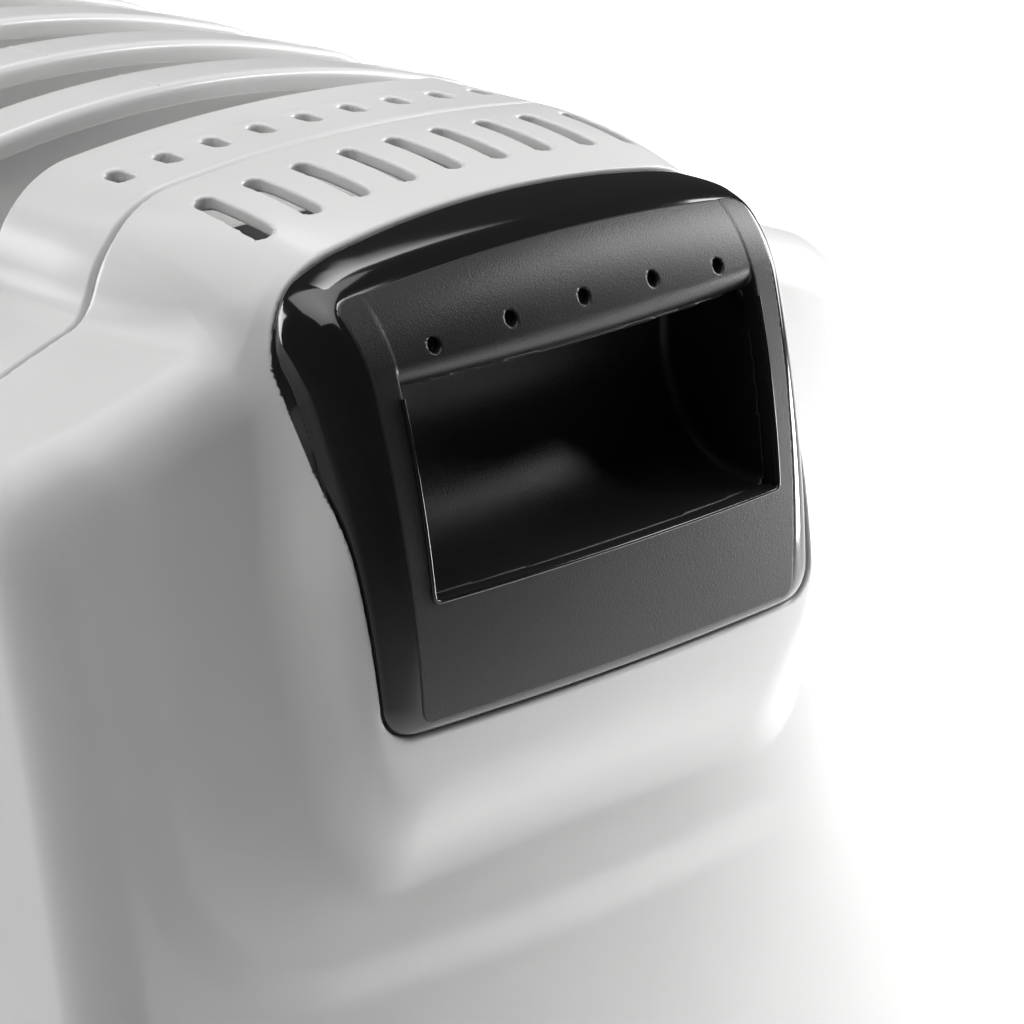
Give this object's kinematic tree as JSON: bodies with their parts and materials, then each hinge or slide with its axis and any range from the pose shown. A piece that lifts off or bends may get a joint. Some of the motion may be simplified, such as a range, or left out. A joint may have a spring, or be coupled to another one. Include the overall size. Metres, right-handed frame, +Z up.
{
  "type": "oil-filled column radiator",
  "caption": "Portable white oil-filled column radiator on swivel casters, with vented hooded end caps, a grip recess at one end and a thermostat knob and rockers at the other.",
  "frame": {"origin": "on the floor, at the middle of the overall box in plan", "axes": "+Z up, +Y along the row of columns towards the control end, +X across the radiator"},
  "size_m": [0.2624, 0.5753, 0.6442],
  "materials": {
    "cover_plastic": "satin white moulding",
    "panel_gloss": "polished black",
    "panel_satin": "satin black",
    "grip_plastic": "satin black",
    "bracket_steel": "zinc plated",
    "shield_sheet": "bright",
    "zinc_steel": "zinc plated",
    "knob_plastic": "satin black",
    "shaft_steel": "turned",
    "moulded_insulation": "moulded",
    "rocker_plastic": "semi-gloss black",
    "lens_red": "tinted clear",
    "lamp_glass": "clear",
    "terminal_nylon": "natural nylon",
    "cutout_aluminium": "drawn",
    "black_nylon": "moulded",
    "wire_rubber": "matte",
    "column_enamel": "white powder coat",
    "element_sheath": "heat-tinted",
    "bar_paint": "black powder coat",
    "caster_plastic": "moulded",
    "wheel_plastic": "moulded"
  },
  "bodies": {
    "radiator": {"grip_end_cover": "cover_plastic", "control_end_cover": "cover_plastic", "grip_end_collar": "cover_plastic", "control_end_collar": "cover_plastic", "grip_panel_frame": "panel_gloss", "control_panel_frame": "panel_gloss", "grip_panel_face": "panel_satin", "control_panel_face": "panel_satin", "grip_bucket": "grip_plastic", "grip_end_bracket": "bracket_steel", "control_end_bracket": "bracket_steel", "grip_end_shield": "shield_sheet", "control_end_shield": "shield_sheet", "grip_end_screws": "zinc_steel", "control_end_screws": "zinc_steel", "u_bolts": "zinc_steel", "wing_nuts": "zinc_steel", "caster_pins": "zinc_steel", "oil_plug": "zinc_steel", "thermostat_body": "moulded_insulation", "switch_bodies": "moulded_insulation", "tilt_switch": "moulded_insulation", "pilot_lens": "lens_red", "pilot_lamp": "lamp_glass", "terminal_block": "terminal_nylon", "thermal_cutout": "cutout_aluminium", "cable_gland": "black_nylon", "cord_hooks": "black_nylon", "internal_wires": "wire_rubber", "column_1": "column_enamel", "column_2": "column_enamel", "column_3": "column_enamel", "column_4": "column_enamel", "column_5": "column_enamel", "column_6": "column_enamel", "end_column_grip": "column_enamel", "end_column_control": "column_enamel", "upper_header_tubes": "column_enamel", "lower_header_tubes": "column_enamel", "header_closures": "column_enamel", "heating_element": "element_sheath", "element_flange": "element_sheath", "crossbar_grip": "bar_paint", "crossbar_control": "bar_paint"},
    "knob": {"thermostat_knob": "knob_plastic", "thermostat_shaft": "shaft_steel"},
    "rocker_low": {"rocker_low": "rocker_plastic"},
    "rocker_high": {"rocker_high": "rocker_plastic"},
    "caster_1": {"caster_fork_1": "caster_plastic", "caster_axle_1": "zinc_steel"},
    "wheel_1": {"caster_wheel_1": "wheel_plastic"},
    "caster_2": {"caster_fork_2": "caster_plastic", "caster_axle_2": "zinc_steel"},
    "wheel_2": {"caster_wheel_2": "wheel_plastic"},
    "caster_3": {"caster_fork_3": "caster_plastic", "caster_axle_3": "zinc_steel"},
    "wheel_3": {"caster_wheel_3": "wheel_plastic"},
    "caster_4": {"caster_fork_4": "caster_plastic", "caster_axle_4": "zinc_steel"},
    "wheel_4": {"caster_wheel_4": "wheel_plastic"}
  },
  "joints": [
    {"name": "thermostat_turn", "type": "hinge", "parent": "radiator", "child": "knob", "pos_m": [-0.027, 0.26974, 0.585], "axis": [0, 0.989, 0.1478], "range_deg": [0, 280]},
    {"name": "rocker_low_rock", "type": "hinge", "parent": "radiator", "child": "rocker_low", "pos_m": [0.014, 0.26727, 0.58456], "axis": [1, 0, 0], "range_deg": [0, 14]},
    {"name": "rocker_high_rock", "type": "hinge", "parent": "radiator", "child": "rocker_high", "pos_m": [0.038, 0.26609, 0.58456], "axis": [1, 0, 0], "range_deg": [0, 14]},
    {"name": "caster_1_swivel", "type": "hinge", "parent": "radiator", "child": "caster_1", "pos_m": [-0.088, -0.14336, 0.06], "axis": [0, 0, 1], "continuous": true},
    {"name": "wheel_1_roll", "type": "hinge", "parent": "caster_1", "child": "wheel_1", "pos_m": [-0.088, -0.12736, 0.025], "axis": [1, 0, 0], "continuous": true},
    {"name": "caster_2_swivel", "type": "hinge", "parent": "radiator", "child": "caster_2", "pos_m": [0.088, -0.14336, 0.06], "axis": [0, 0, 1], "continuous": true},
    {"name": "wheel_2_roll", "type": "hinge", "parent": "caster_2", "child": "wheel_2", "pos_m": [0.072, -0.14336, 0.025], "axis": [0, 1, 0], "continuous": true},
    {"name": "caster_3_swivel", "type": "hinge", "parent": "radiator", "child": "caster_3", "pos_m": [-0.088, 0.12904, 0.06], "axis": [0, 0, 1], "continuous": true},
    {"name": "wheel_3_roll", "type": "hinge", "parent": "caster_3", "child": "wheel_3", "pos_m": [-0.072, 0.12904, 0.025], "axis": [0, 1, 0], "continuous": true},
    {"name": "caster_4_swivel", "type": "hinge", "parent": "radiator", "child": "caster_4", "pos_m": [0.088, 0.12904, 0.06], "axis": [0, 0, 1], "continuous": true},
    {"name": "wheel_4_roll", "type": "hinge", "parent": "caster_4", "child": "wheel_4", "pos_m": [0.088, 0.11304, 0.025], "axis": [1, 0, 0], "continuous": true}
  ]
}
